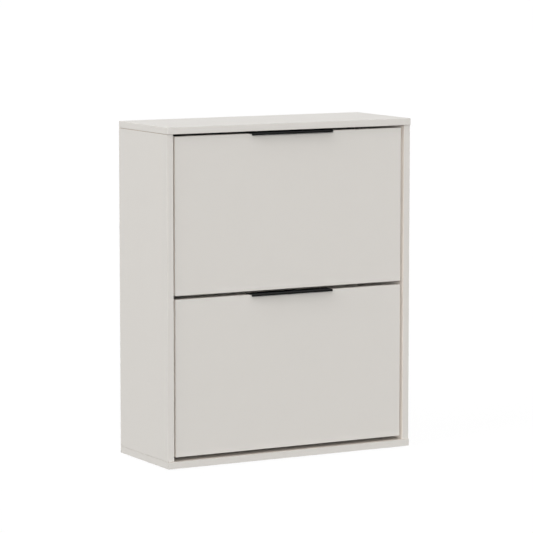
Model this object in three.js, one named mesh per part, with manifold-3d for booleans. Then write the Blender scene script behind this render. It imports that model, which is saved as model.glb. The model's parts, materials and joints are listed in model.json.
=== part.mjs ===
// Slim shoe cabinet: a board carcass with two tip-out flaps, one above the other.
// Each flap carries a double shoe rack and turns on two stub axles near its lower edge.
// Millimetres. +X right, +Y towards the wall, +Z up. The origin is on the floor,
// under the middle of the cabinet's overall box.

import * as THREE from "three";
import { mergeVertices } from "three/addons/utils/BufferGeometryUtils.js";
import Module from "manifold-3d";

const wasm = await Module();
wasm.setup();

// ---------------------------------------------------------------- driving dimensions

const WIDTH = 600; // across the top and bottom panels
const DEPTH = 232; // front edge of the top panel to the wall
const HEIGHT = 730; // underside of the bottom panel to the top surface
const BOARD = 15; // carcass and door board
const FIT = 0.3; // clearance between pieces that meet
const LAP = 1; // how far shapes reach into each other where they are joined or cut

const SIDE_SETBACK = 3; // front edges of the side panels, behind the top panel's edge
const DOOR_SETBACK = 6.5; // door faces, behind the top panel's edge

const DOOR_WIDTH = 558;
const DOOR_HEIGHT = 339;
const GAP_TOP = 5.5; // top panel to upper door
const GAP_MIDDLE = 8; // upper door to lower door

const BACK_THICKNESS = 3;
const BACK_INSET = 12; // back panel's rear face, in front of the wall
const GROOVE_DEPTH = 7; // the back panel sits in grooves in all four boards
const RAIL_HEIGHT = 70; // stiffening rail across the middle of the back

const GLIDE_HEIGHT = 3;
const GLIDE_RADIUS = 12;
const GLIDE_INSET = 35; // glide centres, from the bottom panel's edges
const GLIDE_CHAMFER = 1.2;
const GLIDE_PIN_RADIUS = 1;
const GLIDE_PIN = 8; // straight length of the nail in the bottom panel
const GLIDE_PIN_POINT = 2;

const HANDLE_LENGTH = 200;
const HANDLE_SHEET = 1.5;
const HANDLE_REACH = 12; // front of the lip, ahead of the door face
const HANDLE_LIP = 3; // lip below the door's top edge
const HANDLE_TAIL = 14; // rear flange below the door's top edge
const HANDLE_SCREW_X = 70;
const HANDLE_SCREW_DROP = 8; // screws below the door's top edge
const HANDLE_BEND = 1; // outer round of its bends

const PIVOT_BEHIND_DOOR = 9; // pivot axis, behind the door's back face
const PIVOT_RISE = 70; // pivot axis, above the door's lower edge
const OPENING_DEGREES = 50; // how far a flap tips out
const AXLE_RADIUS = 4;
const RUNNING_CLEARANCE = 0.1;
const BUSH_RADIUS = 6;
const BUSH_DEPTH = 9;
const BUSH_FLANGE_RADIUS = 10;
const BUSH_FLANGE = 2;
const BUSH_FLOOR = 1.2; // thickness at the blind end
const BOSS_RADIUS = 8; // round the stub axle, on the cheek's outer face
const BOSS_CLEARANCE = 1; // end of the boss to the bush's flange
const AXLE_END_GAP = 2; // end of the stub axle to the bush's rear

const STOP_RADIUS = 60; // stop peg, from the pivot axis
const STOP_DEGREES = 75; // stop peg, above the rearward horizontal, flap closed
const PEG_RADIUS = 4;
const PEG_DEPTH = 9;
const PEG_CLEARANCE = 0.6; // end of the peg to the cheek plate's inner face
const PEG_CHAMFER = 0.6;
const SLOT_CLEARANCE = 0.5;

const CHEEK_OUTSIDE = 273; // outer face of each cheek plate, from the middle
const CHEEK_THICKNESS = 4;
const CHEEK_FLANGE_WIDTH = 20;
const CHEEK_FLANGE = 3;
const CHEEK_FLANGE_LOW = -48; // ends of the door flange, from the pivot axis
const CHEEK_FLANGE_HIGH = 160;
const CHEEK_SCREW_INSET = 11; // screws, from the plate's inner face
const CHEEK_SCREW_Z = [-25, 140];
const RACK_BOARD = 3; // thin boards that hold the shoes
const RIB_WIDTH = 7;
const RIB_THICKNESS = 2;
const RIM_THICKNESS = 2; // raised edge round each cheek's inner face
const GUSSET_LEG = 14; // corner ribs between a cheek's plate and its door flange
const GUSSET_HEIGHTS = [5, 40, 75, 110];
const SPOKE_HEIGHT = 3; // stiffening ribs on a cheek's outer face

const SCREW_RADIUS = 1.7;
const SCREW_HEAD_RADIUS = 3.5;
const SCREW_HEAD = 2;
const SCREW_LENGTH = 13;
const SCREW_POINT = 3;
const SCREW_CROWN = 0.7; // flat top of a pan head, as a share of its width
const SCREW_RIM = 0.9; // height of a pan head's upright edge
const RECESS_SLIMNESS = 4; // length of a cross recess over the width of its arms

const CAM_RADIUS = 7.2;
const CAM_DEPTH = 11.5;
const CAM_RECESS = 2.5;
const CAM_DROP = 24; // cam centres, below the side panel's upper end
const FASTENER_Y = [48, 186]; // cams and base screws, from the front edge

const BASE_SCREW_HEAD_RADIUS = 5;
const BASE_SCREW_RADIUS = 3.2;
const BASE_SCREW_CORE = 2.4; // radius inside the side panel
const BASE_SCREW_LENGTH = 48;
const BASE_SCREW_POINT = 4;
const BASE_SCREW_SHOULDER = 1.5;
const BASE_SCREW_RIM = 1; // upright edge of its head
const HEXAGON_RADIUS = 2.3;
const HEXAGON_DEPTH = 3;

const BRACKET_SHEET = 2;
const BRACKET_HEIGHT = 40;
const BRACKET_WIDTH = 30;
const BRACKET_DROP = 18; // top of the wall brackets, below the top panel
const BRACKET_HOLE_RADIUS = 3;
const BRACKET_HOLE_INSET = 18; // wall screw, from the side panel

const ROUND = 16; // sides on round fittings
const SCREW_ROUND = 10; // sides on screws and their holes
const BEARING_ROUND = 24; // sides on the axles and their bores

// ---------------------------------------------------------------- derived places

const INNER_X = WIDTH / 2 - BOARD;
const TOP_UNDERSIDE = HEIGHT - BOARD;
const UPPER_DOOR_BOTTOM = TOP_UNDERSIDE - GAP_TOP - DOOR_HEIGHT;
const LOWER_DOOR_BOTTOM = UPPER_DOOR_BOTTOM - GAP_MIDDLE - DOOR_HEIGHT;
const GROOVE_REAR = DEPTH - BACK_INSET + FIT;
const GROOVE_FRONT = DEPTH - BACK_INSET - BACK_THICKNESS - FIT;
const PIVOT_Y = DOOR_SETBACK + BOARD + PIVOT_BEHIND_DOOR;
const CHEEK_INSIDE = CHEEK_OUTSIDE - CHEEK_THICKNESS;
const BRACKET_TOP = TOP_UNDERSIDE - BRACKET_DROP;
const BRACKET_MIDDLE = BRACKET_TOP - BRACKET_HEIGHT / 2;
const BRACKET_SCREW_Y = DEPTH - (BACK_INSET + LAP) / 2;
const CHEEK_SCREW_X = CHEEK_INSIDE - CHEEK_SCREW_INSET;

// Shoe rack boards, as the ends of their middle lines behind and above the pivot axis,
// with the stretch of each line that the cheeks' ribs grip.
const RACK = [
  { name: "front_floor", from: [-4.5, -50], to: [82, -41], grip: [0.15, 0.85] },
  { name: "divider", from: [86, -42], to: [100, 165], grip: [0.3, 0.92] },
  { name: "rear_floor", from: [92, -7], to: [161, 19], grip: [0.2, 0.85] },
  { name: "rear_board", from: [165, 14], to: [172, 188], grip: [0.15, 0.92] },
];

// ---------------------------------------------------------------- materials

function finish(name, color, roughness, metalness) {
  return new THREE.MeshStandardMaterial({ name, color, roughness, metalness });
}

const CASHMERE = finish("cashmere_board", 0xd3d0cb, 0.55, 0);
const BACKING = finish("backing_board", 0x52514f, 0.6, 0);
const BLACK_METAL = finish("black_metal", 0x1c1d1f, 0.45, 0.6);
const BLACK_PLASTIC = finish("black_plastic", 0x242426, 0.5, 0);
const NYLON = finish("white_nylon", 0xe2e0da, 0.45, 0);
const ZINC = finish("zinc", 0xa9abae, 0.35, 0.9);
const STEEL = finish("plated_steel", 0xb4b6b8, 0.3, 0.9);

// ---------------------------------------------------------------- solids

// A closed manifold solid from any three.js geometry.
function solid(geometry) {
  const bare = geometry.index ? geometry.toNonIndexed() : geometry.clone();
  bare.deleteAttribute("normal");
  bare.deleteAttribute("uv");
  const merged = mergeVertices(bare);
  const faces = [];
  const index = merged.index.array;
  for (let i = 0; i < index.length; i += 3) {
    const [a, b, c] = [index[i], index[i + 1], index[i + 2]];
    if (a !== b && b !== c && c !== a) {
      faces.push(a, b, c);
    }
  }
  const vertProperties = Float32Array.from(merged.attributes.position.array);
  const triVerts = Uint32Array.from(faces);
  return new wasm.Manifold(new wasm.Mesh({ numProp: 3, vertProperties, triVerts }));
}

function geometryOf(body) {
  const result = body.getMesh();
  const geometry = new THREE.BufferGeometry();
  const positions = new THREE.BufferAttribute(Float32Array.from(result.vertProperties), 3);
  geometry.setAttribute("position", positions);
  geometry.setIndex(new THREE.BufferAttribute(Uint32Array.from(result.triVerts), 1));
  geometry.computeVertexNormals();
  return geometry;
}

function cut(geometry, tools) {
  let body = solid(geometry);
  for (const tool of tools) {
    body = body.subtract(solid(tool));
  }
  return geometryOf(body);
}

function join(pieces) {
  let body = solid(pieces[0]);
  for (const piece of pieces.slice(1)) {
    body = body.add(solid(piece));
  }
  return geometryOf(body);
}

function block(low, high) {
  const size = high.map((value, axis) => value - low[axis]);
  const middle = high.map((value, axis) => (value + low[axis]) / 2);
  return new THREE.BoxGeometry(...size).translate(...middle);
}

// A round bar along an axis ("x", "y" or "z") from one coordinate to another.
function bar(axis, radius, from, to, center, sides = ROUND) {
  const rod = new THREE.CylinderGeometry(radius, radius, to - from, sides);
  const middle = (from + to) / 2;
  if (axis === "x") {
    return rod.rotateZ(-Math.PI / 2).translate(middle, center[0], center[1]);
  }
  if (axis === "y") {
    return rod.translate(center[0], middle, center[1]);
  }
  return rod.rotateX(Math.PI / 2).translate(center[0], center[1], middle);
}

// A turned piece about +Z, from its half profile of [radius, height], listed upwards.
function turned(profile, sides = ROUND) {
  const points = profile.map(([radius, height]) => new THREE.Vector2(radius, height));
  return new THREE.LatheGeometry(points, sides).rotateX(Math.PI / 2);
}

// A flat outline of [y, z] points with rounded corners.
function roundedOutline(corners) {
  const shape = new THREE.Shape();
  corners.forEach(([y, z, radius], i) => {
    const before = corners[(i + corners.length - 1) % corners.length];
    const after = corners[(i + 1) % corners.length];
    const corner = new THREE.Vector2(y, z);
    const back = new THREE.Vector2(before[0], before[1]).sub(corner).setLength(radius);
    const ahead = new THREE.Vector2(after[0], after[1]).sub(corner).setLength(radius);
    const start = corner.clone().add(back);
    const end = corner.clone().add(ahead);
    if (i === 0) {
      shape.moveTo(start.x, start.y);
    } else {
      shape.lineTo(start.x, start.y);
    }
    shape.quadraticCurveTo(y, z, end.x, end.y);
  });
  shape.closePath();
  return shape;
}

// A [y, z] shape given thickness along X.
function slab(shape, fromX, toX) {
  const options = { depth: toX - fromX, bevelEnabled: false, curveSegments: 6 };
  const geometry = new THREE.ExtrudeGeometry(shape, options);
  const turn = new THREE.Matrix4().makeBasis(
    new THREE.Vector3(0, 1, 0),
    new THREE.Vector3(0, 0, 1),
    new THREE.Vector3(1, 0, 0),
  );
  return geometry.applyMatrix4(turn).translate(fromX, 0, 0);
}

// The mirror image across the middle plane, still facing outwards.
function mirrored(geometry) {
  const copy = geometry.clone();
  const position = copy.attributes.position;
  for (let i = 0; i < position.count; i += 1) {
    position.setX(i, -position.getX(i));
  }
  const index = copy.index.array;
  for (let i = 0; i < index.length; i += 3) {
    [index[i], index[i + 1]] = [index[i + 1], index[i]];
  }
  copy.computeVertexNormals();
  return copy;
}

const SIDES = [
  { name: "left", sign: -1 },
  { name: "right", sign: 1 },
];

function add(parent, name, geometry, material, position = [0, 0, 0], rotation = [0, 0, 0]) {
  const mesh = new THREE.Mesh(geometry, material);
  mesh.name = name;
  mesh.position.set(...position);
  mesh.rotation.set(...rotation);
  parent.add(mesh);
}

// Rotations that turn a piece's +Z end to face into the cabinet from a side panel,
// towards the wall, or down to the floor.
const facing = {
  inwards: (sign) => [0, (-sign * Math.PI) / 2, 0],
  rearwards: [-Math.PI / 2, 0, 0],
  down: [Math.PI, 0, 0],
};

// ---------------------------------------------------------------- fasteners and fittings

// Tools that cut a cross recess from above the top down to the bottom of a head facing +Z.
function crossRecess(size, bottom, top) {
  const half = size / 2;
  const thin = half / RECESS_SLIMNESS;
  return [
    block([-half, -thin, bottom], [half, thin, top]),
    block([-thin, -half, bottom], [thin, half, top]),
  ];
}

// Pan-head screw: its head's underside is at z = 0 and its shank runs down.
function panScrew() {
  const profile = [
    [0, -SCREW_LENGTH],
    [SCREW_RADIUS, -SCREW_LENGTH + SCREW_POINT],
    [SCREW_RADIUS, 0],
    [SCREW_HEAD_RADIUS, 0],
    [SCREW_HEAD_RADIUS, SCREW_RIM],
    [SCREW_HEAD_RADIUS * SCREW_CROWN, SCREW_HEAD],
    [0, SCREW_HEAD],
  ];
  const recess = crossRecess(SCREW_HEAD_RADIUS, SCREW_RIM, SCREW_HEAD + LAP);
  return cut(turned(profile, SCREW_ROUND), recess);
}

function camLock() {
  const disc = bar("z", CAM_RADIUS, -CAM_DEPTH, 0, [0, 0]);
  return cut(disc, crossRecess(CAM_RADIUS, -CAM_RECESS, LAP));
}

// Long countersunk screw that joins the bottom panel to a side panel.
function baseScrew() {
  const profile = [
    [0, -BASE_SCREW_LENGTH],
    [BASE_SCREW_CORE, -BASE_SCREW_LENGTH + BASE_SCREW_POINT],
    [BASE_SCREW_CORE, -BOARD],
    [BASE_SCREW_RADIUS, -BOARD + BASE_SCREW_SHOULDER],
    [BASE_SCREW_RADIUS, -BASE_SCREW_HEAD_RADIUS],
    [BASE_SCREW_HEAD_RADIUS, -BASE_SCREW_RIM],
    [BASE_SCREW_HEAD_RADIUS, 0],
    [0, 0],
  ];
  const hexagon = bar("z", HEXAGON_RADIUS, -HEXAGON_DEPTH, LAP, [0, 0], 6);
  return cut(turned(profile, SCREW_ROUND), [hexagon]);
}

function glide() {
  const profile = [
    [0, -GLIDE_HEIGHT],
    [GLIDE_RADIUS - GLIDE_CHAMFER, -GLIDE_HEIGHT],
    [GLIDE_RADIUS, -GLIDE_HEIGHT + GLIDE_CHAMFER],
    [GLIDE_RADIUS, -FIT],
    [GLIDE_PIN_RADIUS, -FIT],
    [GLIDE_PIN_RADIUS, GLIDE_PIN],
    [0, GLIDE_PIN + GLIDE_PIN_POINT],
  ];
  return turned(profile);
}

// Flanged bush: its flange faces +Z and its blind bore takes a stub axle.
function pivotBush() {
  const bore = AXLE_RADIUS + RUNNING_CLEARANCE;
  const profile = [
    [0, -BUSH_DEPTH],
    [BUSH_RADIUS, -BUSH_DEPTH],
    [BUSH_RADIUS, 0],
    [BUSH_FLANGE_RADIUS, 0],
    [BUSH_FLANGE_RADIUS, BUSH_FLANGE],
    [bore, BUSH_FLANGE],
    [bore, -BUSH_DEPTH + BUSH_FLOOR],
    [0, -BUSH_DEPTH + BUSH_FLOOR],
  ];
  return turned(profile, BEARING_ROUND);
}

// Stop peg: it stands in the side panel and reaches into the cheek's curved slot.
function stopPeg() {
  const reach = INNER_X - CHEEK_INSIDE - PEG_CLEARANCE;
  const profile = [
    [0, -PEG_DEPTH],
    [PEG_RADIUS, -PEG_DEPTH],
    [PEG_RADIUS, reach - PEG_CHAMFER],
    [PEG_RADIUS - PEG_CHAMFER, reach],
    [0, reach],
  ];
  return turned(profile);
}

// Steel angle in the recess behind the back panel, for a screw into the wall.
function wallBracket() {
  const outer = INNER_X - FIT;
  const front = DEPTH - BACK_INSET + FIT * 2;
  const wallSide = DEPTH - BRACKET_SHEET;
  const low = BRACKET_TOP - BRACKET_HEIGHT;
  const onSide = block([outer - BRACKET_SHEET, front, low], [outer, DEPTH, BRACKET_TOP]);
  const onWall = block([outer - BRACKET_WIDTH, wallSide, low], [outer, DEPTH, BRACKET_TOP]);
  const wallPlace = [outer - BRACKET_HOLE_INSET, BRACKET_MIDDLE];
  const wallHole = bar("y", BRACKET_HOLE_RADIUS, wallSide - LAP, DEPTH + LAP, wallPlace);
  const screwPlace = [BRACKET_SCREW_Y, BRACKET_MIDDLE];
  const inner = outer - BRACKET_SHEET - LAP;
  const screwHole = bar("x", SCREW_RADIUS + FIT, inner, outer + LAP, screwPlace, SCREW_ROUND);
  return cut(join([onSide, onWall]), [wallHole, screwHole]);
}

// ---------------------------------------------------------------- carcass

// Groove tool for a board that lies flat, opening at height z towards the cabinet.
function flatGroove(fromZ, toZ) {
  const reach = INNER_X + GROOVE_DEPTH;
  return block([-reach, GROOVE_FRONT, fromZ], [reach, GROOVE_REAR, toZ]);
}

function topPanel() {
  const board = block([-WIDTH / 2, 0, TOP_UNDERSIDE], [WIDTH / 2, DEPTH, HEIGHT]);
  return cut(board, [flatGroove(TOP_UNDERSIDE - LAP, TOP_UNDERSIDE + GROOVE_DEPTH)]);
}

function cornerPlaces(inset) {
  const x = WIDTH / 2 - inset;
  return [
    { name: "front_left", x: -x, y: inset },
    { name: "front_right", x, y: inset },
    { name: "rear_left", x: -x, y: DEPTH - inset },
    { name: "rear_right", x, y: DEPTH - inset },
  ];
}

// Base screws stand in the middle of the side panels' thickness.
function fastenerPlaces(x) {
  return [
    { name: "front_left", sign: -1, x: -x, y: FASTENER_Y[0] },
    { name: "front_right", sign: 1, x, y: FASTENER_Y[0] },
    { name: "rear_left", sign: -1, x: -x, y: FASTENER_Y[1] },
    { name: "rear_right", sign: 1, x, y: FASTENER_Y[1] },
  ];
}

function bottomPanel() {
  const board = block([-WIDTH / 2, 0, 0], [WIDTH / 2, DEPTH, BOARD]);
  const tools = [flatGroove(BOARD - GROOVE_DEPTH, BOARD + LAP)];
  for (const place of fastenerPlaces(WIDTH / 2 - BOARD / 2)) {
    const sink = turned([
      [0, -LAP],
      [BASE_SCREW_HEAD_RADIUS + FIT, -LAP],
      [BASE_SCREW_HEAD_RADIUS + FIT, BASE_SCREW_RIM + FIT * 2],
      [BASE_SCREW_RADIUS + FIT, BASE_SCREW_HEAD_RADIUS + FIT * 2],
      [BASE_SCREW_RADIUS + FIT, BOARD + LAP],
      [0, BOARD + LAP],
    ], SCREW_ROUND);
    tools.push(sink.translate(place.x, place.y, 0));
  }
  for (const place of cornerPlaces(GLIDE_INSET)) {
    const hole = [place.x, place.y];
    const depth = GLIDE_PIN + GLIDE_PIN_POINT + LAP;
    tools.push(bar("z", GLIDE_PIN_RADIUS + FIT, -LAP, depth, hole, SCREW_ROUND));
  }
  return cut(board, tools);
}

// The right side panel. Its inner face carries the grooves, cams, bushes and pegs.
function sidePanel() {
  const low = BOARD + FIT;
  const high = TOP_UNDERSIDE - FIT;
  const board = block([INNER_X, SIDE_SETBACK, low], [WIDTH / 2, DEPTH, high]);
  const groove = block(
    [INNER_X - LAP, GROOVE_FRONT, low - LAP],
    [INNER_X + GROOVE_DEPTH, GROOVE_REAR, high + LAP],
  );
  const tools = [groove];
  const open = INNER_X - LAP;
  const pilotTop = BASE_SCREW_LENGTH + LAP;
  for (const y of FASTENER_Y) {
    const cam = [y, high - CAM_DROP];
    const pilot = [WIDTH / 2 - BOARD / 2, y];
    tools.push(bar("x", CAM_RADIUS + FIT, open, INNER_X + CAM_DEPTH + FIT * 2, cam));
    tools.push(bar("z", BASE_SCREW_CORE + FIT, low - LAP, pilotTop, pilot, SCREW_ROUND));
  }
  for (const doorBottom of [LOWER_DOOR_BOTTOM, UPPER_DOOR_BOTTOM]) {
    const pivotZ = doorBottom + PIVOT_RISE;
    const bush = [PIVOT_Y, pivotZ];
    const peg = stopPlace(pivotZ);
    tools.push(bar("x", BUSH_RADIUS + FIT, open, INNER_X + BUSH_DEPTH + FIT, bush));
    tools.push(bar("x", PEG_RADIUS + FIT, open, INNER_X + PEG_DEPTH + FIT, peg));
  }
  const screw = [BRACKET_SCREW_Y, BRACKET_MIDDLE];
  const screwEnd = INNER_X + SCREW_LENGTH - LAP;
  tools.push(bar("x", SCREW_RADIUS + FIT, open, screwEnd, screw, SCREW_ROUND));
  return cut(board, tools);
}

function stopPlace(pivotZ) {
  const angle = THREE.MathUtils.degToRad(STOP_DEGREES);
  return [PIVOT_Y + STOP_RADIUS * Math.cos(angle), pivotZ + STOP_RADIUS * Math.sin(angle)];
}

function backPanel() {
  const reach = GROOVE_DEPTH - FIT;
  return block(
    [-INNER_X - reach, GROOVE_FRONT + FIT, BOARD - reach],
    [INNER_X + reach, GROOVE_REAR - FIT, TOP_UNDERSIDE + reach],
  );
}

function backRail() {
  const rear = GROOVE_FRONT;
  const middle = HEIGHT / 2;
  return block(
    [-INNER_X + FIT, rear - BOARD, middle - RAIL_HEIGHT / 2],
    [INNER_X - FIT, rear, middle + RAIL_HEIGHT / 2],
  );
}

function addCarcass(parent) {
  add(parent, "top_panel", topPanel(), CASHMERE);
  add(parent, "bottom_panel", bottomPanel(), CASHMERE);
  const right = sidePanel();
  add(parent, "left_side_panel", mirrored(right), CASHMERE);
  add(parent, "right_side_panel", right, CASHMERE);
  add(parent, "back_panel", backPanel(), BACKING);
  add(parent, "back_rail", backRail(), CASHMERE);
  for (const place of cornerPlaces(GLIDE_INSET)) {
    add(parent, `glide_${place.name}`, glide(), BLACK_PLASTIC, [place.x, place.y, 0]);
  }
  const camZ = TOP_UNDERSIDE - FIT - CAM_DROP;
  for (const place of fastenerPlaces(INNER_X + FIT)) {
    const position = [place.x, place.y, camZ];
    add(parent, `cam_lock_${place.name}`, camLock(), ZINC, position, facing.inwards(place.sign));
  }
  for (const place of fastenerPlaces(WIDTH / 2 - BOARD / 2)) {
    const position = [place.x, place.y, FIT];
    add(parent, `base_screw_${place.name}`, baseScrew(), ZINC, position, facing.down);
  }
  const bracket = wallBracket();
  for (const side of SIDES) {
    const plate = side.sign > 0 ? bracket : mirrored(bracket);
    const screwX = side.sign * (INNER_X - FIT * 2 - BRACKET_SHEET);
    const screwAt = [screwX, BRACKET_SCREW_Y, BRACKET_MIDDLE];
    const face = facing.inwards(side.sign);
    add(parent, `wall_bracket_${side.name}`, plate, STEEL);
    add(parent, `wall_bracket_screw_${side.name}`, panScrew(), ZINC, screwAt, face);
  }
}

function addPivotFittings(parent, flapName, doorBottom) {
  const pivotZ = doorBottom + PIVOT_RISE;
  const [pegY, pegZ] = stopPlace(pivotZ);
  for (const side of SIDES) {
    const face = facing.inwards(side.sign);
    const bushAt = [side.sign * (INNER_X - FIT), PIVOT_Y, pivotZ];
    const pegAt = [side.sign * INNER_X, pegY, pegZ];
    add(parent, `${flapName}_pivot_bush_${side.name}`, pivotBush(), NYLON, bushAt, face);
    add(parent, `${flapName}_stop_peg_${side.name}`, stopPeg(), STEEL, pegAt, face);
  }
}

// ---------------------------------------------------------------- flap
// A flap is built about its pivot axis: y = 0 and z = 0 lie on the axis.

const DOOR_BACK = -PIVOT_BEHIND_DOOR;
const DOOR_FACE = DOOR_BACK - BOARD;
const DOOR_LOW = -PIVOT_RISE;
const DOOR_HIGH = DOOR_LOW + DOOR_HEIGHT;
const FLANGE_REAR = DOOR_BACK + FIT + CHEEK_FLANGE;

function door() {
  const half = DOOR_WIDTH / 2;
  const board = block([-half, DOOR_FACE, DOOR_LOW], [half, DOOR_BACK, DOOR_HIGH]);
  const tools = [];
  const depth = SCREW_LENGTH - HANDLE_SHEET + FIT;
  for (const sign of [-1, 1]) {
    for (const z of CHEEK_SCREW_Z) {
      const hole = [sign * CHEEK_SCREW_X, z];
      tools.push(bar("y", SCREW_RADIUS + FIT, DOOR_BACK - depth, DOOR_BACK + LAP, hole, SCREW_ROUND));
    }
    const hole = [sign * HANDLE_SCREW_X, DOOR_HIGH - HANDLE_SCREW_DROP];
    tools.push(bar("y", SCREW_RADIUS + FIT, DOOR_BACK - depth, DOOR_BACK + LAP, hole, SCREW_ROUND));
  }
  return cut(board, tools);
}

// Sheet-metal edge pull: a flange behind the door, a plate over its top edge, and a lip.
function handle() {
  const front = DOOR_FACE - HANDLE_REACH;
  const inside = DOOR_BACK + FIT;
  const rear = inside + HANDLE_SHEET;
  const under = DOOR_HIGH + FIT;
  const over = under + HANDLE_SHEET;
  const outline = new THREE.Shape();
  outline.moveTo(front, DOOR_HIGH - HANDLE_LIP);
  outline.lineTo(front + HANDLE_SHEET, DOOR_HIGH - HANDLE_LIP);
  outline.lineTo(front + HANDLE_SHEET, under);
  outline.lineTo(inside, under);
  outline.lineTo(inside, DOOR_HIGH - HANDLE_TAIL);
  outline.lineTo(rear, DOOR_HIGH - HANDLE_TAIL);
  outline.lineTo(rear, over - HANDLE_BEND);
  outline.quadraticCurveTo(rear, over, rear - HANDLE_BEND, over);
  outline.lineTo(front + HANDLE_BEND, over);
  outline.quadraticCurveTo(front, over, front, over - HANDLE_BEND);
  outline.closePath();
  const strip = slab(outline, -HANDLE_LENGTH / 2, HANDLE_LENGTH / 2);
  const screwZ = DOOR_HIGH - HANDLE_SCREW_DROP;
  const holes = [-1, 1].map((sign) => {
    const center = [sign * HANDLE_SCREW_X, screwZ];
    return bar("y", SCREW_RADIUS + FIT, inside - LAP, rear + LAP, center, SCREW_ROUND);
  });
  return cut(strip, holes);
}

// The curved slot that the stop peg runs along while the flap turns.
function stopSlot() {
  const half = PEG_RADIUS + SLOT_CLEARANCE;
  const closed = THREE.MathUtils.degToRad(STOP_DEGREES);
  const open = closed - THREE.MathUtils.degToRad(OPENING_DEGREES);
  const end = (angle) => [STOP_RADIUS * Math.cos(angle), STOP_RADIUS * Math.sin(angle)];
  const slot = new THREE.Path();
  slot.absarc(0, 0, STOP_RADIUS + half, open, closed, false);
  slot.absarc(...end(closed), half, closed, closed + Math.PI, false);
  slot.absarc(0, 0, STOP_RADIUS - half, closed, open, true);
  slot.absarc(...end(open), half, open + Math.PI, open + Math.PI * 2, false);
  slot.closePath();
  return slot;
}

// Two ribs on a cheek's inner face, one on each side of a rack board.
function gripRibs(board) {
  const along = new THREE.Vector2(board.to[0] - board.from[0], board.to[1] - board.from[1]);
  const length = along.length() * (board.grip[1] - board.grip[0]);
  const middle = (board.grip[0] + board.grip[1]) / 2;
  const center = [board.from[0] + along.x * middle, board.from[1] + along.y * middle];
  const offset = RACK_BOARD / 2 + FIT + RIB_THICKNESS / 2;
  return [-1, 1].map((side) => {
    const rib = new THREE.BoxGeometry(RIB_WIDTH + LAP, length, RIB_THICKNESS);
    rib.translate(CHEEK_INSIDE + (LAP - RIB_WIDTH) / 2, 0, side * offset);
    return rib.rotateX(along.angle()).translate(0, center[0], center[1]);
  });
}

// Corners of the cheek plate: [y, z, corner radius], anticlockwise seen from the right.
const CHEEK_CORNERS = [
  [DOOR_BACK + FIT, -58, 6],
  [97, -53, 12],
  [104, -17, 10],
  [172, 7, 14],
  [179, 199, 12],
  [140, 180, 16],
  [106, 180, 12],
  [46, 126, 30],
  [DOOR_BACK + FIT, 174, 12],
];

// The same outline moved inwards, edge by edge.
function insetCorners(corners, distance) {
  const edges = corners.map(([y, z], i) => {
    const [nextY, nextZ] = corners[(i + 1) % corners.length];
    const along = new THREE.Vector2(nextY - y, nextZ - z).normalize();
    return { along, point: new THREE.Vector2(y - along.y * distance, z + along.x * distance) };
  });
  return corners.map(([, , radius], i) => {
    const before = edges[(i + edges.length - 1) % edges.length];
    const after = edges[i];
    const between = after.point.clone().sub(before.point);
    const reach = between.cross(after.along) / before.along.cross(after.along);
    const corner = before.along.clone().multiplyScalar(reach).add(before.point);
    return [corner.x, corner.y, radius];
  });
}

// Triangular ribs in the corner between the plate and the door flange.
function gussets() {
  const corner = new THREE.Shape();
  corner.moveTo(CHEEK_INSIDE + LAP, FLANGE_REAR - LAP);
  corner.lineTo(CHEEK_INSIDE + LAP, FLANGE_REAR + GUSSET_LEG);
  corner.lineTo(CHEEK_INSIDE, FLANGE_REAR + GUSSET_LEG);
  corner.lineTo(CHEEK_INSIDE - GUSSET_LEG, FLANGE_REAR);
  corner.lineTo(CHEEK_INSIDE - GUSSET_LEG, FLANGE_REAR - LAP);
  corner.closePath();
  return GUSSET_HEIGHTS.map((z) => {
    const rib = new THREE.ExtrudeGeometry(corner, { depth: RIB_THICKNESS, bevelEnabled: false });
    return rib.translate(0, 0, z - RIB_THICKNESS / 2);
  });
}

// Stiffening ribs on the outer face: [angle in degrees, start, end] from the pivot axis.
const SPOKES = [
  [-58, 6, 58],
  [-14, 6, 92],
  [12, 72, 160],
  [35, 72, 188],
  [60, 72, 138],
  [90, 6, 160],
];

function spokes() {
  return SPOKES.map(([degrees, start, end]) => {
    const low = [CHEEK_OUTSIDE - LAP, start, -RIB_THICKNESS / 2];
    const high = [CHEEK_OUTSIDE + SPOKE_HEIGHT, end, RIB_THICKNESS / 2];
    return block(low, high).rotateX(THREE.MathUtils.degToRad(degrees));
  });
}

// The right cheek: a rimmed plate with its door flange, ribs, boss and stub axle.
function cheek() {
  const outline = roundedOutline(CHEEK_CORNERS);
  outline.holes.push(stopSlot());
  const plate = slab(outline, CHEEK_INSIDE, CHEEK_OUTSIDE);
  const edge = roundedOutline(CHEEK_CORNERS);
  edge.holes.push(roundedOutline(insetCorners(CHEEK_CORNERS, RIM_THICKNESS)));
  const rim = slab(edge, CHEEK_INSIDE - RIB_WIDTH, CHEEK_INSIDE + LAP);
  const flange = block(
    [CHEEK_INSIDE - CHEEK_FLANGE_WIDTH, DOOR_BACK + FIT, CHEEK_FLANGE_LOW],
    [CHEEK_INSIDE + LAP, FLANGE_REAR, CHEEK_FLANGE_HIGH],
  );
  const bossEnd = INNER_X - FIT - BUSH_FLANGE - BOSS_CLEARANCE;
  const stubEnd = INNER_X - FIT + BUSH_DEPTH - AXLE_END_GAP;
  const boss = bar("x", BOSS_RADIUS, CHEEK_INSIDE + LAP, bossEnd, [0, 0]);
  const stub = bar("x", AXLE_RADIUS, CHEEK_INSIDE + LAP, stubEnd, [0, 0], BEARING_ROUND);
  const ribs = [...RACK.flatMap(gripRibs), ...gussets(), ...spokes()];
  const holes = CHEEK_SCREW_Z.map((z) => {
    const center = [CHEEK_SCREW_X, z];
    return bar("y", SCREW_RADIUS + FIT, DOOR_BACK, FLANGE_REAR + LAP, center, SCREW_ROUND);
  });
  return cut(join([plate, rim, flange, boss, stub, ...ribs]), holes);
}

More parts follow.
